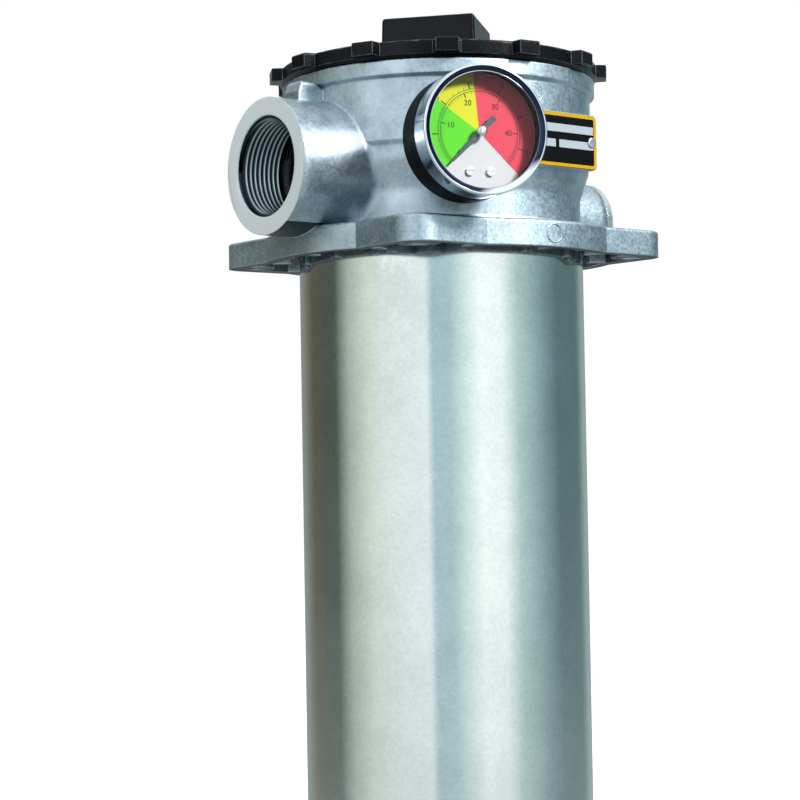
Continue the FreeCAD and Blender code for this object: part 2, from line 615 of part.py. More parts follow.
# Bypass valve: it hangs in the core below the top cap and opens downwards
def make_cage():
    hole = "stem_radius + stem_clearance"
    body = turned("bypass_cage", [
        (hole, "0"), ("cage_radius", "0"), ("cage_radius", "cage_depth"),
        ("cage_radius - cage_wall", "cage_depth"), ("cage_radius - cage_wall", "cage_wall"),
        (hole, "cage_wall")])
    window = new_sketch(body, "window", "YZ_Plane")
    add_rectangle(window, "-window_width / 2", "window_width / 2", "window_low", "window_high")
    cut = extrude(body, window, "Pocket", "cage_radius + overrun", flip=True)
    pattern_round(body, cut, size("window_count"), "windows")
    raise_to(body, "element_top - cap_thickness - cage_depth")


def make_poppet():
    body = turned("bypass_poppet", [
        ("0", "0"), ("poppet_radius", "0"), ("poppet_radius", "-poppet_thickness"),
        ("stem_radius + poppet_boss", "-poppet_thickness"), ("stem_radius", "-poppet_thickness - poppet_boss"),
        ("stem_radius", "-stem_length"), ("0", "-stem_length")])
    raise_to(body, "element_top - cap_thickness - seal_clearance")


def coil(label, low, high, radius, wire, turns):
    """A helical spring that fills the space between two levels but for a small gap at each end."""
    gap = size("spring_gap")
    height = high - low - wire - 2 * gap
    path = Part.makeHelix(height / turns, height, radius)
    slope = math.atan2(height / turns, 2 * math.pi * radius)
    along = Vector(0, math.cos(slope), math.sin(slope))
    section = Part.Wire(Part.makeCircle(wire / 2, Vector(radius, 0, 0), along))
    spring = Part.Wire(path).makePipeShell([section], True, True)
    shaped(label, spring, Placement(Vector(0, 0, low + wire / 2 + gap), Rotation()))


def make_springs():
    floor = size("element_top - cap_thickness - cage_depth + cage_wall")
    seat = size("element_top - cap_thickness - seal_clearance - poppet_thickness")
    coil("bypass_spring", floor, seat, size("valve_spring_radius"), size("valve_spring_wire"),
         size("valve_spring_coils"))
    coil("hold_down_spring", size("element_top"), size(COVER_BASE), size("hold_spring_radius"),
         size("hold_spring_wire"), size("hold_spring_coils"))


# Spare port's plug and its seal washer
def along_x(text_x, text_z):
    """Puts a piece's own vertical axis along +X."""
    return Placement(Vector(size(text_x), 0, size(text_z)), Rotation(Vector(0, 1, 0), 90))


def add_hexagon(sketch, reach):
    add_polygon(sketch, [("%s * cos(%d deg)" % (reach, angle), "%s * sin(%d deg)" % (reach, angle))
                         for angle in range(0, 360, 60)])


def make_plug():
    shank, head = "spare_bore - pin_clearance", "spare_radius - washer_edge / 2"
    top = "washer_thickness + plug_head"
    body = turned("port_plug", [
        ("0", "-plug_length"), (shank, "-plug_length"), (shank, "washer_thickness"), (head, "washer_thickness"),
        (head, top + " - plug_edge"), (head + " - plug_edge", top), ("0", top)])
    socket = new_sketch(body, "socket", "XY_Plane", Placement(Vector(0, 0, size(top)), Rotation()))
    add_hexagon(socket, "plug_socket")
    extrude(body, socket, "Pocket", "plug_socket_depth")
    body.Placement = along_x(SPARE_FACE, "spare_level")
    washer = turned("plug_washer", washer_profile("spare_bore", "spare_radius - washer_edge"))
    washer.Placement = along_x(SPARE_FACE, "spare_level")


def washer_profile(bore, rim):
    inner = bore + " + washer_clearance"
    return [(inner, "0"), (rim, "0"), (rim, "washer_thickness"), (inner, "washer_thickness")]


# Nameplate and its two drive rivets
def make_plate():
    body = new_body("nameplate")
    sketch = new_sketch(body, "outline", "XZ_Plane", in_front(PAD_FACE))
    add_rectangle(sketch, "plate_shift - plate_width / 2", "plate_shift + plate_width / 2",
                  "plate_level - plate_height / 2", "plate_level + plate_height / 2")
    extrude(body, sketch, "Pad", "plate_thickness")
    soften(body, lambda edge: isinstance(edge.Curve, Part.Line) and abs(abs(edge.Curve.Direction.y) - 1) < 1e-6,
           "plate_corner", name="corners")
    holes = new_sketch(body, "holes", "XZ_Plane", in_front(PAD_FACE))
    for side in ("-", "+"):
        add_circle(holes, "rivet_radius + washer_clearance", "plate_shift " + side + " rivet_pitch / 2",
                   "plate_level")
    extrude(body, holes, "Pocket", "plate_thickness + overrun", flip=True)


def make_rivets():
    rivets = new_body("nameplate_rivets")
    rivets.AllowCompound = True
    shanks = new_sketch(rivets, "shanks", "XZ_Plane", in_front(PAD_FACE + " - rivet_depth + rivet_gap"))
    heads = new_sketch(rivets, "heads", "XZ_Plane", in_front(PAD_FACE + " + plate_thickness"))
    for side in ("-", "+"):
        place = "plate_shift " + side + " rivet_pitch / 2"
        add_circle(shanks, "rivet_radius - pin_clearance", place, "plate_level")
        add_circle(heads, "rivet_head", place, "plate_level")
    extrude(rivets, shanks, "Pad", "rivet_depth - rivet_gap + plate_thickness")
    extrude(rivets, heads, "Pad", "rivet_head_height")
    front = -size(PAD_FACE + " + plate_thickness + rivet_head_height")
    soften(rivets, lambda edge: isinstance(edge.Curve, Part.Circle) and abs(edge.Curve.Center.y - front) < 0.01,
           "rivet_dome", name="domes")


# Gauge: every piece is built about its own +Z, which points out of the dial, from the bezel's front
def gauge_place():
    angle = math.radians(size("gauge_angle"))
    outward = Vector(math.sin(angle), -math.cos(angle), 0)
    sideways = Vector(math.cos(angle), math.sin(angle), 0)
    front = outward * size(GAUGE_FRONT) + sideways * size("gauge_shift") + Vector(0, 0, size("gauge_level"))
    return Placement(front, Rotation(sideways, Vector(0, 0, 1), outward, "ZXY"))


def gauge_level(text):
    """Moves a sketch along the gauge's axis."""
    return Placement(Vector(0, 0, size(text)), Rotation())


def make_shells():
    """Case, bezel, lens and the lens's seal."""
    inside = "(bezel_radius - bezel_wall)"
    fitted = "(bezel_radius - bezel_wall - shell_gap)"
    lens_back = "-lens_recess - lens_thickness"
    hole = "gauge_hex / 2 + case_hole_gap"
    case = turned("gauge_case", [
        (hole, "-case_depth"), ("bezel_radius - shell_gap - case_edge", "-case_depth"),
        ("bezel_radius - shell_gap", "-case_depth + case_edge"), ("bezel_radius - shell_gap", "-bezel_skirt"),
        (fitted, "-bezel_skirt"), (fitted, lens_back + " - lens_seal"),
        (inside + " - case_wall", lens_back + " - lens_seal"),
        (inside + " - case_wall", "-case_depth + case_wall"), (hole, "-case_depth + case_wall")])
    bezel = turned("gauge_bezel", [
        (inside, "-bezel_skirt"), ("bezel_radius", "-bezel_skirt"), ("bezel_radius", "-bezel_crown"),
        ("bezel_radius - bezel_lip", "-bezel_lip"), ("bezel_radius - bezel_crown", "0"),
        ("bezel_opening + bezel_lip", "-bezel_lip"), ("bezel_opening", "-bezel_crown"),
        ("bezel_opening", "-lens_recess"), (inside, "-lens_recess")])
    lens = turned("gauge_lens", [
        ("0", lens_back), (fitted, lens_back), (fitted, "-lens_recess"), ("0", "-lens_recess")])
    seal = turned("gauge_seal", [
        ("bezel_opening + bezel_lip", lens_back + " - lens_seal"), (fitted, lens_back + " - lens_seal"),
        (fitted, lens_back), ("bezel_opening + bezel_lip", lens_back)])
    return [case, bezel, lens, seal]


def make_dial():
    """The dial lies on the movement, and two screws hold it."""
    hole, rim = "spindle_radius + bezel_lip", "bezel_radius - bezel_wall - case_wall - seal_clearance"
    dial = turned("gauge_dial", [
        (hole, "-" + DIAL_BACK), (rim, "-" + DIAL_BACK), (rim, "-dial_recess"), (hole, "-dial_recess")])
    screws = new_body("dial_screws")
    screws.AllowCompound = True
    heads = new_sketch(screws, "heads", "XY_Plane", gauge_level("-dial_recess"))
    slots = new_sketch(screws, "slots", "XY_Plane", gauge_level("dial_screw_height - dial_recess"))
    for side in ("-", ""):
        centre = side + "dial_screw_x"
        add_circle(heads, "dial_screw_radius", centre, "-dial_screw_y")
        add_rectangle(slots, centre + " - dial_screw_radius - dial_screw_slot",
                      centre + " + dial_screw_radius + dial_screw_slot",
                      "-dial_screw_y - dial_screw_slot / 2", "-dial_screw_y + dial_screw_slot / 2")
    extrude(screws, heads, "Pad", "dial_screw_height")
    extrude(screws, slots, "Pocket", "dial_slot_depth")
    return [dial, screws]


def make_pointer():
    """The hand lies at zero, to the lower left, and its tail widens. The hub carries it on its spindle."""
    turn = Placement(Vector(0, 0, size("pointer_height - dial_recess")),
                     Rotation(Vector(0, 0, 1), size("pointer_start")))
    hand = new_body("gauge_pointer")
    outline = new_sketch(hand, "outline", "XY_Plane", turn)
    half = [("pointer_point", "pointer_tip"), ("pointer_width", "pointer_neck"),
            ("pointer_width", "-pointer_neck"), ("pointer_tail_width", "-pointer_tail")]
    add_polygon(outline, [("-" + x, y) for x, y in half] + half[::-1])
    extrude(hand, outline, "Pad", "pointer_thickness")
    bore = new_sketch(hand, "bore", "XY_Plane", turn)
    add_circle(bore, "spindle_radius")
    extrude(hand, bore, "Pocket", "pointer_thickness + overrun", flip=True)
    shaft = "spindle_radius - spindle_clearance"
    seat = "-dial_recess + pointer_height"
    cap = seat + " + pointer_thickness"
    foot = "-" + DIAL_BACK + " - spindle_depth"
    collar = "spindle_radius + hub_collar"
    hub = turned("pointer_hub", [
        ("0", foot), (shaft, foot), (shaft, seat + " - overrun"), (collar, seat + " - overrun"), (collar, seat),
        (shaft, seat), (shaft, cap), ("hub_cap", cap), ("hub_cap", cap + " + hub_cap_height / 2"),
        ("hub_dome", cap + " + hub_cap_height"), ("0", cap + " + hub_cap_height")])
    return [hand, hub]


def make_works():
    """What turns pressure into the pointer's travel: movement, curved tube and link."""
    movement = new_body("gauge_movement")
    block = new_sketch(movement, "block", "XY_Plane", gauge_level("-" + DIAL_BACK))
    add_rectangle(block, "-movement_width / 2", "movement_width / 2", "-movement_depth / 2",
                  "movement_depth / 2")
    extrude(movement, block, "Pad", "movement_height", flip=True)
    bore = new_sketch(movement, "bore", "XY_Plane", gauge_level("-" + DIAL_BACK))
    add_circle(bore, "spindle_radius")
    extrude(movement, bore, "Pocket", "spindle_depth + washer_clearance")
    link = new_body("gauge_link")
    strip = new_sketch(link, "strip", "XY_Plane", gauge_level("-spring_tube_level - link_width / 2"))
    add_rectangle(strip, "-spring_tube_centre - spring_tube_radius", "-movement_width / 2", "-link_width", "0")
    extrude(link, strip, "Pad", "link_width")
    tube = doc.addObject("Part::Torus", "bourdon_tube")
    tube.Label = "bourdon_tube"
    tube.setExpression("Radius1", bound("spring_tube_centre"))
    tube.setExpression("Radius2", bound("spring_tube_radius"))
    tube.setExpression("Angle3", bound("spring_tube_sweep"))
    return movement, link, tube


def make_socket():
    """The threaded stem, the hexagon on its washer and the arm that the curved tube starts from."""
    socket = new_body("gauge_socket")
    shank = new_sketch(socket, "shank", "XY_Plane", gauge_level("-gauge_stand - gauge_thread_length"))
    add_circle(shank, "gauge_thread - pin_clearance")
    extrude(socket, shank, "Pad", "gauge_thread_length + washer_thickness + overrun")
    hexagon = new_sketch(socket, "hexagon", "XY_Plane", gauge_level("-gauge_stand + washer_thickness"))
    add_hexagon(hexagon, "gauge_hex / 2 / cos(30 deg)")
    extrude(socket, hexagon, "Pad",
            "gauge_stand - washer_thickness - dial_recess - dial_thickness - movement_height")
    arm = new_sketch(socket, "arm", "YZ_Plane")
    outer = "-(spring_tube_centre + spring_tube_radius + pin_clearance)"
    inner = "-(spring_tube_centre + spring_tube_radius - socket_arm_thickness)"
    foot = "-" + DIAL_BACK + " - movement_height"
    joined = "-gauge_hex / 2 + overrun"
    add_polygon(arm, [
        (outer, "-socket_arm_low"), (joined, "-socket_arm_low"), (joined, foot), (inner, foot),
        (inner, "-socket_arm_high"), (outer, "-socket_arm_high")])
    extrude(socket, arm, "Pad", "socket_arm_width", flip=True)
    return socket


def make_gauge():
    place = gauge_place()
    movement, link, tube = make_works()
    pieces = make_shells() + make_dial() + make_pointer() + [movement, link, make_socket()]
    for piece in pieces:
        piece.Placement = place
    tube_start = Placement(Vector(0, 0, -size("spring_tube_level")), Rotation(Vector(0, 0, 1), -90))
    tube.Placement = place.multiply(tube_start)
    washer = turned("gauge_washer", washer_profile("gauge_thread", "gauge_boss_radius - gauge_washer_edge"))
    washer.Placement = place.multiply(gauge_level("-gauge_stand"))


# Seals
def make_seals():
    ring("bowl_seal", "tube_radius + seal_clearance + seal_section", "seal_section",
         "seal_land + seal_clearance + seal_section")
    ring("cover_seal", NECK_BORE + " - seal_clearance - cover_seal_section", "cover_seal_section",
         COVER_BASE + " - cover_seal_level")
    ring("element_seal", COLLAR_RADIUS + " + seal_clearance + element_seal_section", "element_seal_section",
         ELEMENT_FLOOR + " + cap_thickness + seal_clearance + element_seal_section")


make_head()
make_bowl()
make_cover()
make_media()
make_core()
make_caps()
make_cage()
make_poppet()
make_springs()
make_plug()
make_plate()
make_rivets()
make_gauge()
make_seals()
doc.recompute()

# Every object must be sound before anything is written
KINDS = ("PartDesign::Body", "Part::Feature", "Part::Torus")
pieces = [item for item in doc.Objects if item.TypeId in KINDS]
for item in doc.Objects:
    if "Invalid" in item.State or "Error" in item.State:
        raise RuntimeError("failed object: %s %s" % (item.Label, item.State))
for piece in pieces:
    if piece.Shape.isNull() or not piece.Shape.isValid() or not piece.Shape.Solids:
        raise RuntimeError("bad shape: " + piece.Label)

os.makedirs("parts", exist_ok=True)
for piece in pieces:
    piece.Shape.exportStep("parts/%s.step" % piece.Label)
    print("%-20s solids %d volume %10.1f" % (piece.Label, len(piece.Shape.Solids), piece.Shape.Volume))
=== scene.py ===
import json
import math

import bmesh
import bpy
from mathutils import Matrix, Vector


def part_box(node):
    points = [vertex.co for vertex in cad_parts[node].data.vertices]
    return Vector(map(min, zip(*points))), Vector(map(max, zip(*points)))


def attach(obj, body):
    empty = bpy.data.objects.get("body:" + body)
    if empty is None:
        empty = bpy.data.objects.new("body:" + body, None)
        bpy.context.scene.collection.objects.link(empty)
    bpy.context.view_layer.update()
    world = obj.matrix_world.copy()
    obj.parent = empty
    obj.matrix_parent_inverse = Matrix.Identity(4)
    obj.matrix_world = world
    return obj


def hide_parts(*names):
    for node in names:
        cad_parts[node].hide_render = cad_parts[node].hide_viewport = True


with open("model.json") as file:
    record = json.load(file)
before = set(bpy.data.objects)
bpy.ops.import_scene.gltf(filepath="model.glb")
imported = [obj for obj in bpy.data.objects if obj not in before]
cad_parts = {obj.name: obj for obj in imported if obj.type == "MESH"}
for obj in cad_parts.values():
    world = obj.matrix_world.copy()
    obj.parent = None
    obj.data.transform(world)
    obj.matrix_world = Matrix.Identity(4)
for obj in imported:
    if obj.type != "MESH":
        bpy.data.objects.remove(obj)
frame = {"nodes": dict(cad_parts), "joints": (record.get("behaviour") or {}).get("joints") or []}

# Looks of the tank top filter: a die-cast head, a zinc-plated bowl, a moulded cover, a gauge and a nameplate.
# Everything is in metres, in the part's own frame, so sizes that are written in millimetres are times MM.
MM = 0.001
UP = Vector((0, 0, 1))
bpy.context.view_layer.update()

# The photograph's camera: it stands in front of the port's left side and looks a little upwards
VIEW_TURN = math.radians(-39.0)
CAMERA_DISTANCE = 858 * MM
CAMERA_HEIGHT = -85.3 * MM
CAMERA_YAW = math.radians(1.29)
CAMERA_PITCH = math.radians(1.66)
CAMERA_ROLL = math.radians(-0.97)
CAMERA_NEAR = 10 * MM
FOCAL_PIXELS = 1928
FRAME_PIXELS = 800
SENSOR = 36.0

# Floor
FLOOR_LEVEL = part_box("bowl")[0].z
FLOOR_RADIUS = 12
FLOOR_SIDES = 96
FLOOR_GLOW = 0.9

# The gauge's own frame starts at the bezel's front: sideways to the right, up, and outward from the dial
POINTER = next(joint for joint in frame["joints"] if joint["name"] == "pointer_turn")
POINTER_CENTRE = Vector(POINTER["pos_m"])
OUTWARD = -Vector(POINTER["axis"]).normalized()
SIDEWAYS = UP.cross(OUTWARD)
POINTER_DEPTH = 5.8 * MM
GAUGE_FRONT = POINTER_CENTRE + OUTWARD * POINTER_DEPTH

# Dial: its three fields and two scales, with angles in degrees clockwise from the top
DIAL_DEPTH = -8.0 * MM
DIAL_RADIUS = 23.7 * MM
DIAL_HOLE = 1.4 * MM
INK_LAYER = 0.07 * MM
FIELDS = [("dial_green", -135, -55, (104, 240, 40)), ("dial_yellow", -55, -5.5, (240, 244, 44)),
          ("dial_red", -5.5, 135, (252, 84, 104))]
SCALE_START, SCALE_END = -135, 135
OUTER_STEP, INNER_STEP = 40.8, 56.3
SCALE_ARCS = [16.4 * MM, 17.3 * MM]
ARC_WIDTH = 0.2 * MM
# How many ticks, degrees between them, inner radius, outer radius and width
TICKS = [(7, OUTER_STEP, 17.4 * MM, 20.0 * MM, 0.4 * MM), (34, OUTER_STEP / 5, 17.4 * MM, 18.5 * MM, 0.14 * MM),
         (5, INNER_STEP, 14.6 * MM, 16.5 * MM, 0.4 * MM), (49, INNER_STEP / 10, 15.5 * MM, 16.5 * MM, 0.14 * MM)]
# How many numbers, what they count by, degrees between them, radius and height
NUMBERS = [(4, 1, 2 * OUTER_STEP, 21.4 * MM, 2.8 * MM), (5, 10, INNER_STEP, 12.4 * MM, 3.2 * MM)]

# Inlet: its turned face, the part of its bore where shade is painted dark, and its thread
PORT_LEVEL = 36.4 * MM
PORT_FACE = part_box("filter_head")[0].x
FACE_DEPTH = 0.2 * MM
BORE_RADIUS = 21.05 * MM
BORE_END = -56 * MM
THREAD_PITCH = 2.309 * MM
THREAD_CREST = 19.48 * MM
THREAD_ROOT = 20.95 * MM
THREAD_START = 0.3 * MM
THREAD_LENGTH = 22.0 * MM
THREAD_STEPS = 96

# Nameplate
PLATE_LOW, PLATE_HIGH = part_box("nameplate")
PLATE_FRONT = PLATE_LOW.y
PLATE_SHIFT = (PLATE_LOW.x + PLATE_HIGH.x) / 2
PLATE_LEVEL = (PLATE_LOW.z + PLATE_HIGH.z) / 2
PLATE_HALF = ((PLATE_HIGH.x - PLATE_LOW.x) / 2, (PLATE_HIGH.z - PLATE_LOW.z) / 2)
PLATE_LAYER = 0.04 * MM
# Inset of the border's edge and the radius of its corner, outside and inside
PLATE_BORDER = [(0.1 * MM, 2.1 * MM), (1.5 * MM, 0.9 * MM)]
# Left, right, top and bottom of the pale fields, in millimetres from the plate's middle
PLATE_FIELDS = [(-23.5, 24.0, 6.6, 3.2), (-23.5, -12.0, 0.0, -3.3), (-10.4, 2.4, 0.0, -3.3), (4.4, 24.0, 0.0, -3.3)]

# Cast marks on the head: azimuth, distance from the axis, level, radius and the ring's thickness
RING_MARKS = [("flange_mark", -2.3, 78.75 * MM, 5.6 * MM, 3.8 * MM, 0.35 * MM),
              ("date_mark", -1.7, 67.2 * MM, 66.0 * MM, 3.9 * MM, 0.3 * MM),
              ("date_mark_inner", -1.7, 67.25 * MM, 66.0 * MM, 2.1 * MM, 0.25 * MM)]
DOT_COUNT = 12
DOT_PLACE = (-1.7, 67.15 * MM, 66.0 * MM)
DOT_CIRCLE = 3.0 * MM
DOT_RADIUS, DOT_HEIGHT = 0.38 * MM, 0.45 * MM

# Head: the turned seat under it, the soft bend between waist and belly, and the flange's hollow underside, where
# shade is painted dark
SEAT_DEPTH = 0.05 * MM
BEND_LEVEL = 32 * MM
BEND_REACH = (10 * MM, 12 * MM)
BEND_ROUNDING = 5 * MM
EDGE_ROUNDING = 0.9 * MM
UNDERSIDE_TOP = 12 * MM

# The studio round the part. Its brightness goes by the azimuth to the right of the camera, in degrees:
# a dim back, a dark panel at the left, a broad bright one, a narrow shade, a bright one, and a dark right side.
STUDIO = [
    (-180, (0.30, 0.33, 0.33)), (-150, (0.26, 0.29, 0.26)), (-130, (0.14, 0.13, 0.09)),
    (-106, (0.10, 0.12, 0.10)), (-95, (0.10, 0.13, 0.11)), (-80, (0.52, 0.62, 0.54)),
    (-60, (0.86, 0.97, 0.86)), (-45, (1.00, 1.07, 1.06)), (-13, (1.10, 1.18, 1.24)),
    (-8, (0.54, 0.73, 0.81)), (6, (0.56, 0.77, 0.85)), (15, (0.82, 1.04, 1.03)),
    (30, (1.30, 1.38, 1.38)), (48, (1.22, 1.32, 1.31)), (62, (0.60, 0.81, 0.82)),
    (88, (0.26, 0.40, 0.44)), (104, (0.14, 0.23, 0.25)), (136, (0.13, 0.22, 0.23)),
    (152, (0.34, 0.45, 0.45)), (180, (0.30, 0.33, 0.33))]
CEILING, CEILING_SPAN = (1.1, 1.15, 1.2, 1), (0.25, 0.85)
GROUND, GROUND_SPAN = (0.52, 0.58, 0.58, 1), (0.06, -0.62)
# How much of the studio reaches dull surfaces
FILL = 0.06
# Azimuth, elevation, distance, watts, width, and whether metal mirrors the lamp
LIGHTS = [("key", 54, 31, 1.7, 32, 0.3, True), ("fill", -35, 20, 1.9, 2.2, 0.9, True),
          ("side", -78, 15, 1.3, 12, 0.5, False)]


def turned_to_view(vector):
    """From the photograph's frame, whose -Y faces the camera, to the part's frame."""
    return Matrix.Rotation(VIEW_TURN, 4, "Z") @ Vector(vector)


def toward(azimuth, elevation, distance):
    """A point seen from the part's axis, with the azimuth counted to the right of the camera."""
    turn, rise = math.radians(azimuth), math.radians(elevation)
    flat = math.cos(rise) * distance
    return turned_to_view((math.sin(turn) * flat, -math.cos(turn) * flat, math.sin(rise) * distance))


def placed(axes, origin):
    """A frame with these three axes as its columns, at an origin."""
    place = Matrix([[axis[row] for axis in axes] for row in range(3)]).to_4x4()
    place.translation = origin
    return place


def arc(radius_x, radius_y, angles):
    """Points on an ellipse, by angles in degrees from its X axis."""
    return [(radius_x * math.cos(math.radians(angle)), radius_y * math.sin(math.radians(angle))) for angle in angles]


def linear(red, green, blue):
    """A linear colour from the 0 to 255 values that a screen shows."""
    def channel(value):
        value /= 255
        return value / 12.92 if value <= 0.04045 else ((value + 0.055) / 1.055) ** 2.4
    return (channel(red), channel(green), channel(blue), 1.0)


def add_node(tree, kind, inputs=(), **settings):
    """Adds a shader node. Each of its inputs is a value or the output of another node."""
    node = tree.nodes.new(kind)
    for name, value in settings.items():
        setattr(node, name, value)
    for name, value in dict(inputs).items():
        if isinstance(value, bpy.types.NodeSocket):
            tree.links.new(value, node.inputs[name])
        else:
            node.inputs[name].default_value = value
    return node


# Camera, floor and light
def make_camera():
    forward = Vector((-math.sin(CAMERA_YAW) * math.cos(CAMERA_PITCH),
                      math.cos(CAMERA_YAW) * math.cos(CAMERA_PITCH), math.sin(CAMERA_PITCH)))
    level = Vector((math.cos(CAMERA_YAW), math.sin(CAMERA_YAW), 0))
    rise = level.cross(forward)
    right = level * math.cos(CAMERA_ROLL) + rise * math.sin(CAMERA_ROLL)
    up = rise * math.cos(CAMERA_ROLL) - level * math.sin(CAMERA_ROLL)
    data = bpy.data.cameras.new("camera")
    data.sensor_width = SENSOR
    data.lens = FOCAL_PIXELS / FRAME_PIXELS * SENSOR
    data.clip_start = CAMERA_NEAR
    camera = bpy.data.objects.new("camera", data)
    camera.matrix_world = placed([turned_to_view(axis) for axis in (right, up, -forward)],
                                 turned_to_view((0, -CAMERA_DISTANCE, CAMERA_HEIGHT)))
    bpy.context.scene.collection.objects.link(camera)
    bpy.context.scene.camera = camera


def make_floor():
    """A plain white floor that only the camera sees."""
    mesh = bpy.data.meshes.new("floor")
    form = bmesh.new()
    bmesh.ops.create_circle(form, cap_ends=True, radius=FLOOR_RADIUS, segments=FLOOR_SIDES)
    form.to_mesh(mesh)
    form.free()
    floor = bpy.data.objects.new("floor", mesh)
    floor.location.z = FLOOR_LEVEL
    bpy.context.scene.collection.objects.link(floor)
    surface = Surface("floor", linear(240, 241, 242), roughness=0.9)
    surface.set("Emission Color", linear(255, 255, 255))
    surface.set("Emission Strength", FLOOR_GLOW)
    floor.data.materials.append(surface.material)
    floor.visible_diffuse = False
    floor.visible_glossy = False
    floor.visible_shadow = False


def toward_pole(tree, height, span, near, far):
    """Blends one colour of the studio into another as the direction's height goes through a span."""
    share = add_node(tree, "ShaderNodeMapRange", {"Value": height, "From Min": span[0], "From Max": span[1]},
                     interpolation_type="SMOOTHSTEP")
    return add_node(tree, "ShaderNodeMix", {0: share.outputs["Result"], 6: near, 7: far}, data_type="RGBA").outputs[2]


def make_world():
    """Panels of light and shade all round, a bright ceiling and a pale ground, with plain white for the camera."""
    world = bpy.data.worlds.new("studio")
    bpy.context.scene.world = world
    world.use_nodes = True
    tree = world.node_tree
    tree.nodes.clear()

    direction = add_node(tree, "ShaderNodeTexCoord").outputs["Generated"]
    turned = add_node(tree, "ShaderNodeVectorRotate", {"Vector": direction, "Angle": -VIEW_TURN},
                      rotation_type="Z_AXIS")
    parts = add_node(tree, "ShaderNodeSeparateXYZ", {"Vector": turned.outputs["Vector"]}).outputs
    nearness = add_node(tree, "ShaderNodeMath", {0: parts["Y"], 1: -1}, operation="MULTIPLY")
    azimuth = add_node(tree, "ShaderNodeMath", {0: parts["X"], 1: nearness.outputs[0]}, operation="ARCTAN2")
    share = add_node(tree, "ShaderNodeMapRange", {
        "Value": azimuth.outputs[0], "From Min": -math.pi, "From Max": math.pi})
    ramp = add_node(tree, "ShaderNodeValToRGB", {"Fac": share.outputs["Result"]})
    stops = ramp.color_ramp.elements
    while len(stops) < len(STUDIO):
        stops.new(0.5)
    for stop, (angle, colour) in zip(stops, STUDIO):
        stop.position = (angle + 180) / 360
        stop.color = (*colour, 1)

    walls = toward_pole(tree, parts["Z"], CEILING_SPAN, ramp.outputs["Color"], CEILING)
    room = toward_pole(tree, parts["Z"], GROUND_SPAN, walls, GROUND)
    path = add_node(tree, "ShaderNodeLightPath").outputs
    dimmer = add_node(tree, "ShaderNodeMapRange", {"Value": path["Is Diffuse Ray"], "To Min": 1.0, "To Max": FILL})
    studio = add_node(tree, "ShaderNodeBackground", {"Color": room, "Strength": dimmer.outputs["Result"]})
    white = add_node(tree, "ShaderNodeBackground", {"Color": (1, 1, 1, 1)})
    either = add_node(tree, "ShaderNodeMixShader", {
        "Fac": path["Is Camera Ray"], 1: studio.outputs[0], 2: white.outputs[0]})
    add_node(tree, "ShaderNodeOutputWorld", {"Surface": either.outputs[0]})


def make_lights():
    """Soft square lamps that face the part."""
    for name, azimuth, elevation, distance, power, width, mirrored in LIGHTS:
        place = toward(azimuth, elevation, distance)
        data = bpy.data.lights.new(name, "AREA")
        data.shape = "RECTANGLE"
        data.size, data.size_y = width, width
        data.energy = power
        light = bpy.data.objects.new(name, data)
        light.location = place
        light.rotation_euler = (-place).to_track_quat("-Z", "Y").to_euler()
        light.visible_glossy = mirrored
        bpy.context.scene.collection.objects.link(light)


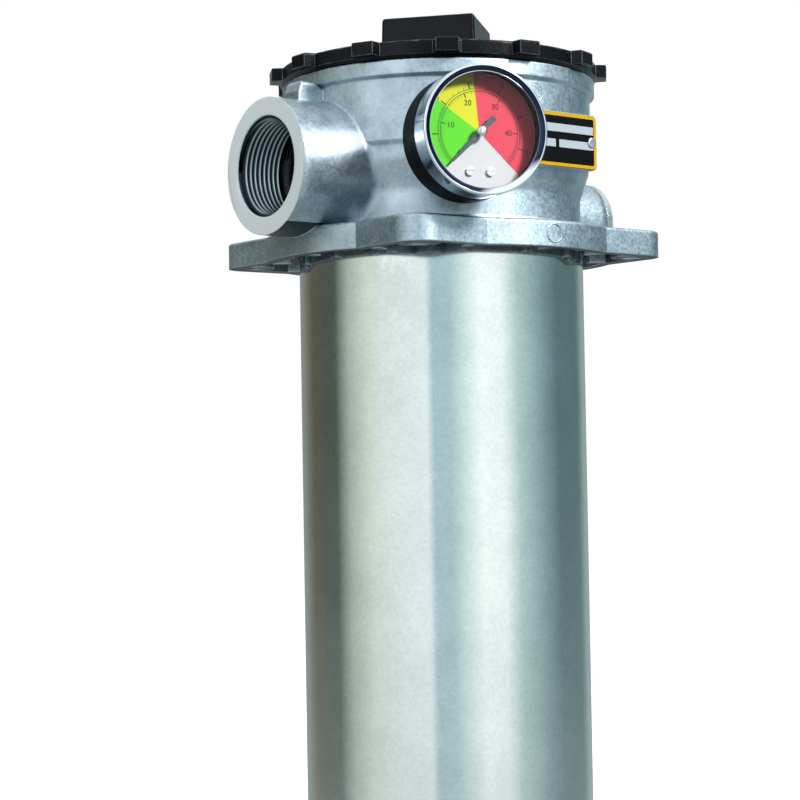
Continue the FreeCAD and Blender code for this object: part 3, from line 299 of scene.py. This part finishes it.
# Materials
class Surface:
    """A Principled material whose colour, roughness and relief are worked out from the place on the part."""

    def __init__(self, name, colour, metallic=0.0, roughness=0.5):
        self.material = bpy.data.materials.new(name)
        self.material.use_nodes = True
        self.material.diffuse_color = colour
        self.tree = self.material.node_tree
        self.shader = self.tree.nodes["Principled BSDF"]
        self.set("Base Color", colour)
        self.set("Metallic", metallic)
        self.set("Roughness", roughness)
        self.place = self.node("ShaderNodeTexCoord").outputs["Object"]

    def set(self, socket, value):
        self.shader.inputs[socket].default_value = value

    def node(self, kind, inputs=(), **settings):
        return add_node(self.tree, kind, inputs, **settings)

    def link(self, source, socket):
        self.tree.links.new(source, self.shader.inputs[socket])

    def noise(self, size, detail=2.0, roughness=0.5, stretch=None):
        """Noise whose grain is about that many metres wide."""
        where = self.place
        if stretch is not None:
            where = self.node("ShaderNodeMapping", {"Vector": where, "Scale": stretch}).outputs[0]
        return self.node("ShaderNodeTexNoise", {
            "Vector": where, "Scale": 1 / size, "Detail": detail, "Roughness": roughness}).outputs["Fac"]

    def remap(self, value, low, high, new_low=0.0, new_high=1.0):
        return self.node("ShaderNodeMapRange", {
            "Value": value, "From Min": low, "From Max": high, "To Min": new_low, "To Max": new_high}).outputs[0]

    def calculate(self, operation, first, second=0.0):
        return self.node("ShaderNodeMath", {0: first, 1: second}, operation=operation).outputs[0]

    def blend(self, factor, first, second):
        return self.node("ShaderNodeMix", {0: factor, 6: first, 7: second}, data_type="RGBA").outputs[2]

    def axes(self, vector=None):
        """The X, Y and Z parts of the place, or of another vector."""
        parts = self.node("ShaderNodeSeparateXYZ", {"Vector": vector or self.place}).outputs
        return parts["X"], parts["Y"], parts["Z"]

    def facing(self):
        """The way that the flat face looks, before anything is smoothed or rounded."""
        return self.node("ShaderNodeNewGeometry").outputs["True Normal"]

    def from_port_axis(self):
        """Distance from the inlet's axis."""
        _, y, z = self.axes()
        up = self.calculate("SUBTRACT", z, PORT_LEVEL)
        return self.calculate("SQRT", self.calculate(
            "ADD", self.calculate("MULTIPLY", y, y), self.calculate("MULTIPLY", up, up)))

    def uneven_gloss(self, size, smooth, rough):
        """Roughness that wanders between two values."""
        self.link(self.remap(self.noise(size, detail=3), 0.3, 0.7, smooth, rough), "Roughness")

    def relief(self, height, strength, distance, base=None):
        """Adds a bump on top of another one."""
        inputs = {"Height": height, "Strength": strength, "Distance": distance}
        if base is not None:
            inputs["Normal"] = base
        normal = self.node("ShaderNodeBump", inputs).outputs[0]
        self.link(normal, "Normal")
        return normal

    def soft_edges(self, radius):
        """Rounds the light on sharp edges by that many metres."""
        normal = self.node("ShaderNodeBevel", {"Radius": radius}, samples=8).outputs[0]
        self.link(normal, "Normal")
        return normal


def cast_aluminium():
    """Pale cast skin, with smooth turned faces at the port and the seat, and shade painted dark into the bore and the
    underside.
    """
    surface = Surface("cast_aluminium", linear(150, 166, 176), metallic=1.0, roughness=0.46)
    x, _, z = surface.axes()
    port_face = surface.calculate("LESS_THAN", x, PORT_FACE + FACE_DEPTH)
    seat = surface.calculate("LESS_THAN", z, SEAT_DEPTH)
    machined = surface.calculate("MAXIMUM", port_face, seat)
    patches = surface.noise(16 * MM, detail=4, roughness=0.6)
    mottle = surface.noise(1.4 * MM, detail=3, roughness=0.65)
    tone = surface.remap(surface.calculate("ADD", patches, surface.calculate("MULTIPLY", mottle, 0.7)), 0.6, 1.1)
    skin_colour = surface.blend(tone, linear(140, 156, 168), linear(194, 207, 216))
    finished = surface.blend(machined, skin_colour, linear(222, 230, 234))
    # painted shade: the bore and the hollow underside are painted dark
    painted_shade = surface.calculate("MAXIMUM", in_bore(surface, x), underside(surface, z))
    surface.link(surface.blend(painted_shade, finished, linear(52, 60, 68)), "Base Color")
    skin_roughness = surface.remap(mottle, 0.3, 0.7, 0.36, 0.5)
    roughness = surface.node("ShaderNodeMix", {0: machined, 2: skin_roughness, 3: 0.5}, data_type="FLOAT")
    surface.link(roughness.outputs[0], "Roughness")
    surface.link(surface.remap(port_face, 0.0, 1.0, 1.0, 0.35), "Metallic")
    rounded = surface.soft_edges(edge_radius(surface, z))
    grain = surface.noise(0.9 * MM, detail=3, roughness=0.6)
    height = surface.calculate("MULTIPLY", grain, surface.calculate("SUBTRACT", 1.0, machined))
    skin = surface.relief(height, 0.3, 0.12 * MM, rounded)
    surface.relief(surface.noise(9 * MM, detail=2), 0.2, 0.25 * MM, skin)
    return surface.material


def in_bore(surface, x):
    """1 inside the inlet's bore, where little light comes in, so shade is painted dark there."""
    inside = surface.calculate("LESS_THAN", surface.from_port_axis(), BORE_RADIUS)
    return surface.calculate("MULTIPLY", inside, surface.calculate("LESS_THAN", x, BORE_END))


def underside(surface, z):
    """1 on the flange's hollow underside, which sits on the tank and gets no light, so shade is painted dark there.
    """
    down = surface.calculate("LESS_THAN", surface.axes(surface.facing())[2], -0.5)
    return surface.calculate("MULTIPLY", down, surface.calculate("LESS_THAN", z, UNDERSIDE_TOP))


def edge_radius(surface, z):
    """Sharp edges are nearly crisp, but the waist runs into the belly in a long soft bend."""
    from_bend = surface.calculate("ABSOLUTE", surface.calculate("SUBTRACT", z, BEND_LEVEL))
    return surface.remap(from_bend, *BEND_REACH, BEND_ROUNDING, EDGE_ROUNDING)


def zinc_steel():
    """Satin zinc on a drawn tube, with fine spangle and faint drawing lines."""
    surface = Surface("zinc_steel", linear(214, 218, 216), metallic=1.0, roughness=0.14)
    spangle = surface.node("ShaderNodeTexVoronoi", {
        "Vector": surface.place, "Scale": 1 / (1.3 * MM), "Randomness": 1.0}).outputs["Color"]
    flake = surface.node("ShaderNodeSeparateColor", {0: spangle}).outputs[0]
    cloud = surface.noise(30 * MM, detail=4, roughness=0.6)
    drawn = surface.noise(2.5 * MM, detail=4, roughness=0.7, stretch=(1, 1, 0.04))
    tone = surface.calculate("ADD", surface.calculate("MULTIPLY", flake, 0.2),
                             surface.calculate("MULTIPLY", cloud, 0.9))
    surface.link(surface.blend(surface.remap(tone, 0.35, 0.8), linear(206, 211, 209), linear(226, 229, 227)),
                 "Base Color")
    surface.link(surface.remap(surface.calculate("ADD", cloud, surface.calculate("MULTIPLY", flake, 0.4)),
                               0.3, 1.0, 0.06, 0.12), "Roughness")
    fine = surface.relief(drawn, 0.06, 0.05 * MM)
    surface.relief(surface.noise(0.8 * MM, detail=2), 0.1, 0.03 * MM, fine)
    return surface.material


def black_plastic():
    """Moulded black plastic whose rounded edges shine, with a pale sheen painted on them here and there."""
    # black is the plastic's colour; the pale colour is a painted sheen for its edges
    black, painted_sheen_colour, shine = linear(9, 12, 17), linear(112, 126, 136), 0.13
    surface = Surface("black_plastic", black, roughness=0.3)
    surface.set("Specular IOR Level", shine)
    surface.uneven_gloss(0.9 * MM, 0.14, 0.36)
    rounded = surface.soft_edges(0.6 * MM)
    flatness = surface.node("ShaderNodeVectorMath", {0: rounded, 1: surface.facing()},
                            operation="DOT_PRODUCT").outputs["Value"]
    surface.link(surface.remap(flatness, 0.98, 0.86, shine, 1.0), "Specular IOR Level")
    # painted sheen: the rounded edges are painted pale in patches
    painted_sheen = surface.calculate("MULTIPLY", surface.remap(flatness, 0.985, 0.9),
                             surface.remap(surface.noise(3 * MM, detail=3), 0.4, 0.62, 0.25, 1.0))
    surface.link(surface.blend(painted_sheen, black, painted_sheen_colour), "Base Color")
    surface.relief(surface.noise(0.5 * MM, detail=2), 0.16, 0.04 * MM, rounded)
    return surface.material


def plain_metal(name, colour, roughness, grain, gloss, rounding=None):
    """A metal of one colour whose gloss wanders from smooth to rough, with rounded edges if it has a rounding."""
    surface = Surface(name, colour, metallic=1.0, roughness=roughness)
    surface.uneven_gloss(grain, *gloss)
    if rounding is not None:
        surface.soft_edges(rounding)
    return surface.material


def bright_steel():
    return plain_metal("bright_steel", linear(205, 208, 210), roughness=0.25, grain=3 * MM, gloss=(0.18, 0.34),
                       rounding=0.25 * MM)


def chrome():
    return plain_metal("bezel_chrome", linear(218, 222, 228), roughness=0.06, grain=4 * MM, gloss=(0.04, 0.1))


def brass():
    return plain_metal("gauge_brass", linear(214, 176, 104), roughness=0.3, grain=3 * MM, gloss=(0.22, 0.4),
                       rounding=0.2 * MM)


def copper():
    return plain_metal("seal_copper", linear(214, 140, 108), roughness=0.32, grain=2 * MM, gloss=(0.25, 0.42))


def filter_media():
    surface = Surface("filter_media", linear(232, 224, 196), roughness=0.95)
    fibre = surface.noise(0.35 * MM, detail=4, roughness=0.7)
    surface.link(surface.blend(surface.remap(fibre, 0.3, 0.7), linear(214, 204, 172), linear(242, 236, 214)),
                 "Base Color")
    surface.relief(fibre, 0.4, 0.1 * MM)
    return surface.material


def black_enamel():
    surface = Surface("black_enamel", linear(8, 9, 11), roughness=0.5)
    surface.set("Specular IOR Level", 0.04)
    surface.uneven_gloss(5 * MM, 0.42, 0.58)
    surface.soft_edges(0.4 * MM)
    return surface.material


def lens_glass():
    """Clear glass that lets light through unbent, because the dial lies close behind it."""
    gloss, mirrored = 0.02, 0.015
    surface = Surface("lens_glass", (0.95, 0.97, 0.97, 1), roughness=gloss)
    clear = surface.node("ShaderNodeBsdfTransparent")
    shine = surface.node("ShaderNodeBsdfGlossy", {"Roughness": gloss})
    both = surface.node("ShaderNodeMixShader", {0: mirrored, 1: clear.outputs[0], 2: shine.outputs[0]})
    surface.tree.links.new(both.outputs[0], surface.tree.nodes["Material Output"].inputs["Surface"])
    return surface.material


def rubber():
    surface = Surface("seal_rubber", linear(28, 28, 29), roughness=0.7)
    surface.relief(surface.noise(0.5 * MM, detail=2), 0.2, 0.04 * MM)
    return surface.material


def thread_metal():
    """The inlet's thread: a painted highlight makes the crests pale, and painted shade grows dark on the flanks
    towards the root.
    """
    surface = Surface("thread_metal", linear(120, 140, 150), metallic=1.0, roughness=0.3)
    # radii where the painted highlight ends and where the painted shade is full
    pale, dark = 19.6 * MM, 20.3 * MM
    depth = surface.remap(surface.from_port_axis(), pale, dark)
    surface.link(surface.blend(depth, linear(168, 182, 190), linear(34, 42, 50)), "Base Color")
    return surface.material


def painted_reflection_chrome():
    """The bezel's inner flank: chrome whose colour is a painted reflection, dark all round and bright at its lower
    right.
    """
    surface = Surface("painted_reflection_chrome", linear(58, 70, 92), metallic=1.0, roughness=0.1)
    from_centre = surface.node("ShaderNodeVectorMath", {0: surface.place, 1: tuple(POINTER_CENTRE)},
                               operation="SUBTRACT").outputs[0]
    x, y, rise = surface.axes(from_centre)
    across = surface.calculate("ADD", surface.calculate("MULTIPLY", x, SIDEWAYS.x),
                               surface.calculate("MULTIPLY", y, SIDEWAYS.y))
    # painted reflection: the colour runs from dark to bright towards the flank's lower right
    lean, dark, light = math.radians(152), 20.0 * MM, 22.6 * MM
    toward_painted_reflection = surface.calculate("ADD", surface.calculate("MULTIPLY", across, math.sin(lean)),
                                     surface.calculate("MULTIPLY", rise, math.cos(lean)))
    share = surface.remap(toward_painted_reflection, dark, light)
    surface.link(surface.blend(share, linear(40, 52, 76), linear(236, 240, 246)), "Base Color")
    surface.uneven_gloss(4 * MM, 0.07, 0.14)
    return surface.material


def print_ink(name, colour, roughness=0.45, gloss=0.5):
    """Printed ink with a slight unevenness in its gloss."""
    surface = Surface(name, colour, roughness=roughness)
    surface.set("Specular IOR Level", gloss)
    surface.uneven_gloss(2 * MM, roughness - 0.06, roughness + 0.06)
    return surface.material


# Mesh helpers
def piece(name, mesh, material, body, smooth=True):
    """Links a mesh as a piece of the part that rides on a body."""
    thing = bpy.data.objects.new(name, mesh)
    bpy.context.scene.collection.objects.link(thing)
    mesh.materials.append(material)
    for polygon in mesh.polygons:
        polygon.use_smooth = smooth
    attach(thing, body)
    return thing


def mesh_from(name, points, faces, place=Matrix.Identity(4)):
    """A mesh whose points are given in a place's own frame."""
    mesh = bpy.data.meshes.new(name)
    mesh.from_pydata([place @ Vector(point) for point in points], [], faces)
    mesh.validate()
    mesh.update()
    return mesh


def turn_faces_outward(mesh, merge=None):
    """Makes the faces agree, after merging points that are closer than a distance."""
    form = bmesh.new()
    form.from_mesh(mesh)
    if merge is not None:
        bmesh.ops.remove_doubles(form, verts=form.verts, dist=merge)
    bmesh.ops.recalc_face_normals(form, faces=form.faces)
    form.to_mesh(mesh)
    form.free()


def lathe(name, profile, place, segments=128, closed=True):
    """Turns a profile of radius and height about the place's own Z axis."""
    points, faces = [], []
    count = len(profile)
    for step in range(segments):
        turn = 2 * math.pi * step / segments
        points += [(radius * math.cos(turn), radius * math.sin(turn), height) for radius, height in profile]
    for step in range(segments):
        first, second = step * count, (step + 1) % segments * count
        for index in range(count if closed else count - 1):
            after = (index + 1) % count
            faces.append((first + index, second + index, second + after, first + after))
    mesh = mesh_from(name, points, faces, place)
    turn_faces_outward(mesh, merge=1e-7)
    return mesh


def in_metres(profile):
    return [(radius * MM, height * MM) for radius, height in profile]


def sharpen(thing, angle):
    """Keeps edges sharper than an angle crisp and the rest smooth."""
    thing.data.set_sharp_from_angle(angle=math.radians(angle))


def join_flat(parts):
    """Joins several lists of points and faces."""
    points, faces = [], []
    for some_points, some_faces in parts:
        shift = len(points)
        points += some_points
        faces += [tuple(index + shift for index in face) for face in some_faces]
    return points, faces


# Dial print
def gauge_place(depth=0.0):
    """The gauge's frame at a depth from the bezel's front."""
    return placed((SIDEWAYS, UP, OUTWARD), GAUGE_FRONT + OUTWARD * depth)


def dial_point(angle, radius):
    """A point of the dial, with the angle in degrees clockwise from the top."""
    turn = math.radians(angle)
    return (radius * math.sin(turn), radius * math.cos(turn), 0.0)


def ring_band(start, end, inner, outer, step=2.0):
    """Points and faces of a flat band of the dial between two angles and two radii."""
    count = max(1, math.ceil((end - start) / step))
    points, faces = [], []
    for index in range(count + 1):
        angle = start + (end - start) * index / count
        points += [dial_point(angle, inner), dial_point(angle, outer)]
    for index in range(count):
        corner = 2 * index
        faces.append((corner, corner + 2, corner + 3, corner + 1))
    return points, faces


def tick(angle, inner, outer, width):
    """A short line that points at the dial's centre."""
    turn = math.radians(angle)
    along = Vector((math.sin(turn), math.cos(turn), 0))
    across = Vector((along.y, -along.x, 0)) * width / 2
    corners = [along * inner - across, along * outer - across, along * outer + across, along * inner + across]
    return [tuple(corner) for corner in corners], [(0, 1, 2, 3)]


def plain_number(name, word, x, y, height, depth, material):
    """A number of the dial, centred on a point of it."""
    curve = bpy.data.curves.new(name, "FONT")
    curve.body = word
    curve.size = height
    curve.align_x, curve.align_y = "CENTER", "CENTER"
    curve.resolution_u = 3
    letters = bpy.data.objects.new(name, curve)
    mesh = bpy.data.meshes.new_from_object(letters)
    bpy.data.objects.remove(letters)
    mesh.transform(gauge_place(depth) @ Matrix.Translation((x, y, 0)))
    mesh.materials.clear()
    piece(name, mesh, material, "head", smooth=False)


def on_dial(name, form, layers, ink):
    """Prints a flat form on the dial, that many layers of ink above its plate."""
    mesh = mesh_from(name, *form, gauge_place(DIAL_DEPTH + layers * INK_LAYER))
    piece(name, mesh, ink, "head", smooth=False)


def make_dial_print():
    white = print_ink("dial_white_ink", linear(238, 240, 242), gloss=0.1)
    on_dial("dial_face", ring_band(-180, 180, DIAL_HOLE, DIAL_RADIUS), 1, white)
    for name, start, end, colour in FIELDS:
        on_dial(name, ring_band(start, end, DIAL_HOLE, DIAL_RADIUS), 2,
                print_ink(name + "_ink", linear(*colour), gloss=0.1))
    ink = print_ink("scale_ink", linear(40, 46, 52), 0.6, gloss=0.1)
    parts = [ring_band(SCALE_START, SCALE_END, radius, radius + ARC_WIDTH, step=1.5) for radius in SCALE_ARCS]
    for count, step, inner, outer, width in TICKS:
        parts += [tick(SCALE_START + step * index, inner, outer, width) for index in range(count)]
    on_dial("dial_scale", join_flat(parts), 3, ink)
    numbers = [(str(unit * index), SCALE_START + step * index, radius, height)
               for count, unit, step, radius, height in NUMBERS for index in range(count)]
    for index, (word, angle, radius, height) in enumerate(numbers):
        x, y, _ = dial_point(angle, radius)
        plain_number("dial_number_%02d" % index, word, x, y, height, DIAL_DEPTH + 3 * INK_LAYER, ink)


# Gauge's bezel and hub
def make_bezel(bright, dark):
    """Rolled rim: a straight skirt, a round bend, and a flank with a painted reflection, mostly dark, that runs in to
    a bright lip at the lens.
    """
    outer, skirt, wall, bend = 26.2, -11.5, 0.8, 0.75
    opening, back, segments = 23.1, -1.6, 192
    roll = [(outer - bend + x, -bend + y) for x, y in arc(bend, bend, range(0, 106, 7))]
    joint = roll[-1]
    lip = (opening + 0.3, -1.05)
    profile = [(outer - wall, skirt), (outer - 0.3, skirt), (outer, skirt + 0.35)] + roll + [
        (joint[0], joint[1] - 0.4), (lip[0], lip[1] - 0.4), lip, (opening + 0.05, -0.95), (opening, back),
        (outer - wall, back)]
    mesh = lathe("bezel_ring", in_metres(profile), gauge_place(), segments)
    ring = piece("bezel_ring", mesh, bright, "head")
    sharpen(ring, 35)
    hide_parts("gauge_bezel")
    # the flank carries the painted reflection
    flank = [joint, (joint[0], joint[1] - 0.35), (lip[0], lip[1] - 0.35), lip,
             ((joint[0] + lip[0]) / 2, (joint[1] + lip[1]) / 2 + 0.1)]
    mesh = lathe("bezel_flank", in_metres(flank), gauge_place(), segments)
    sharpen(piece("bezel_flank", mesh, dark, "head"), 40)


def make_hub(material):
    """The pointer's stem, collar and domed cap in one turned piece."""
    stem, stem_end, neck, dimple, top = 0.85, -15.3, 1.6, 0.3, -3.55
    collar, cap_level, cap_height = 2.2, -4.6, 1.25
    dome = [(radius, cap_level + rise) for radius, rise in arc(collar, cap_height, range(0, 82, 9))]
    profile = [(0.0, stem_end), (stem, stem_end), (stem, -6.8), (neck, -6.8), (neck, -5.8), (collar, -5.4)]
    profile += dome + [(dimple, top), (0.0, top)]
    mesh = lathe("hub_dome", in_metres(profile), gauge_place(), 48, closed=False)
    hub = piece("hub_dome", mesh, material, "pointer")
    sharpen(hub, 50)
    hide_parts("pointer_hub")


# Inlet's thread
def make_thread(material):
    """One long ridge with rounded crests that winds out of the port."""
    shoulder, foot = THREAD_CREST + 0.1 * MM, THREAD_ROOT - 0.12 * MM
    section = [(0.0, THREAD_ROOT), (0.14, foot), (0.42, shoulder), (0.5, THREAD_CREST), (0.58, shoulder),
               (0.86, foot)]
    steps = int(THREAD_LENGTH / THREAD_PITCH) * THREAD_STEPS
    count = len(section)
    points, faces = [], []
    for step in range(steps + 1):
        turns = step / THREAD_STEPS
        turn = 2 * math.pi * turns
        fade = min(1.0, 4 * turns, (steps - step) / THREAD_STEPS + 0.02)
        for share, radius in section:
            reach = THREAD_ROOT - (THREAD_ROOT - radius) * fade
            points.append((PORT_FACE + THREAD_START + THREAD_PITCH * (turns + share), reach * math.cos(turn),
                           PORT_LEVEL + reach * math.sin(turn)))
    for step in range(steps):
        first, second = step * count, (step + 1) * count
        for index in range(count - 1):
            faces.append((first + index, first + index + 1, second + index + 1, second + index))
    mesh = mesh_from("inlet_thread", points, faces)
    turn_faces_outward(mesh)
    piece("inlet_thread", mesh, material, "head")


# Nameplate's print
def rounded_loop(half_x, half_z, corner, steps=6):
    """Corner points of a rounded rectangle, anticlockwise."""
    loop = []
    for side_x, side_z, start in ((1, 1, 0), (-1, 1, 90), (-1, -1, 180), (1, -1, 270)):
        for x, z in arc(corner, corner, [start + 90 * step / steps for step in range(steps + 1)]):
            loop.append((side_x * (half_x - corner) + x, side_z * (half_z - corner) + z))
    return loop


def on_plate(x, z):
    return (PLATE_SHIFT + x, PLATE_FRONT - PLATE_LAYER, PLATE_LEVEL + z)


def make_plate_print():
    border = print_ink("plate_yellow_ink", linear(222, 172, 16), 0.4, gloss=0.1)
    pale = print_ink("plate_field_ink", linear(186, 200, 208), 0.45, gloss=0.1)
    outer, inner = [rounded_loop(PLATE_HALF[0] - inset, PLATE_HALF[1] - inset, corner)
                    for inset, corner in PLATE_BORDER]
    points = [on_plate(x, z) for x, z in outer + inner]
    count = len(outer)
    faces = [(i, (i + 1) % count, count + (i + 1) % count, count + i) for i in range(count)]
    piece("plate_border", mesh_from("plate_border", points, faces), border, "head", smooth=False)
    parts = []
    for left, right, top, bottom in PLATE_FIELDS:
        corners = [on_plate(x * MM, z * MM) for x, z in ((left, bottom), (right, bottom), (right, top), (left, top))]
        parts.append((corners, [(0, 1, 2, 3)]))
    mesh = mesh_from("plate_fields", *join_flat(parts))
    piece("plate_fields", mesh, pale, "head", smooth=False)


# Cast marks on the head
def on_wall(azimuth, distance, level):
    """A frame on the head's wall: its Z points outward at that azimuth of the part."""
    turn = math.radians(azimuth)
    outward = Vector((math.sin(turn), -math.cos(turn), 0))
    across = Vector((math.cos(turn), math.sin(turn), 0))
    return placed((across, UP, outward), outward * distance + UP * level)


def make_marks(material):
    """Low raised rings and dots, as a mould leaves them."""
    for name, azimuth, distance, level, radius, thickness in RING_MARKS:
        profile = [(radius + x, y) for x, y in arc(thickness, thickness, range(0, 360, 30))]
        mesh = lathe(name, profile, on_wall(azimuth, distance, level), 64)
        piece(name, mesh, material, "head")
    dot = arc(DOT_RADIUS, DOT_HEIGHT, (-60, 0, 30, 60, 90))
    circle = arc(DOT_CIRCLE, DOT_CIRCLE, [360 * index / DOT_COUNT for index in range(DOT_COUNT)])
    for index, (x, y) in enumerate(circle):
        name = "date_dot_%02d" % index
        mesh = lathe(name, dot, on_wall(*DOT_PLACE) @ Matrix.Translation((x, y, 0)), 12)
        piece(name, mesh, material, "head")


def make_pieces():
    """Gives every CAD node its material, and adds the pieces that the CAD leaves out."""
    cast, zinc, plastic, enamel, seal = cast_aluminium(), zinc_steel(), black_plastic(), black_enamel(), rubber()
    steel, bezel, fitting, washer = bright_steel(), chrome(), brass(), copper()
    finishes = {
        "filter_head": cast, "bowl": zinc, "screw_cover": plastic, "element_media": filter_media(),
        "element_core": steel, "element_bottom_cap": steel, "element_top_cap": steel, "bypass_cage": steel,
        "bypass_poppet": steel, "bypass_spring": steel, "hold_down_spring": steel, "port_plug": steel,
        "plug_washer": steel, "nameplate": print_ink("plate_black", linear(10, 13, 16), 0.4, gloss=0.06),
        "nameplate_rivets": steel, "gauge_case": enamel, "gauge_bezel": bezel, "gauge_lens": lens_glass(),
        "gauge_seal": seal, "gauge_dial": print_ink("dial_plate", linear(238, 240, 242)), "dial_screws": steel,
        "gauge_pointer": print_ink("pointer_paint", linear(62, 76, 88), 0.35), "pointer_hub": steel,
        "gauge_movement": fitting, "gauge_link": fitting, "bourdon_tube": fitting, "gauge_socket": fitting,
        "gauge_washer": washer, "bowl_seal": seal, "cover_seal": seal, "element_seal": seal}
    for name, material in finishes.items():
        node = frame["nodes"][name]
        node.data.materials.clear()
        node.data.materials.append(material)
    make_thread(thread_metal())
    make_dial_print()
    make_bezel(bezel, painted_reflection_chrome())
    make_hub(steel)
    make_plate_print()
    make_marks(cast)


bpy.context.scene.view_settings.view_transform = "Standard"
make_camera()
make_floor()
make_world()
make_lights()
make_pieces()
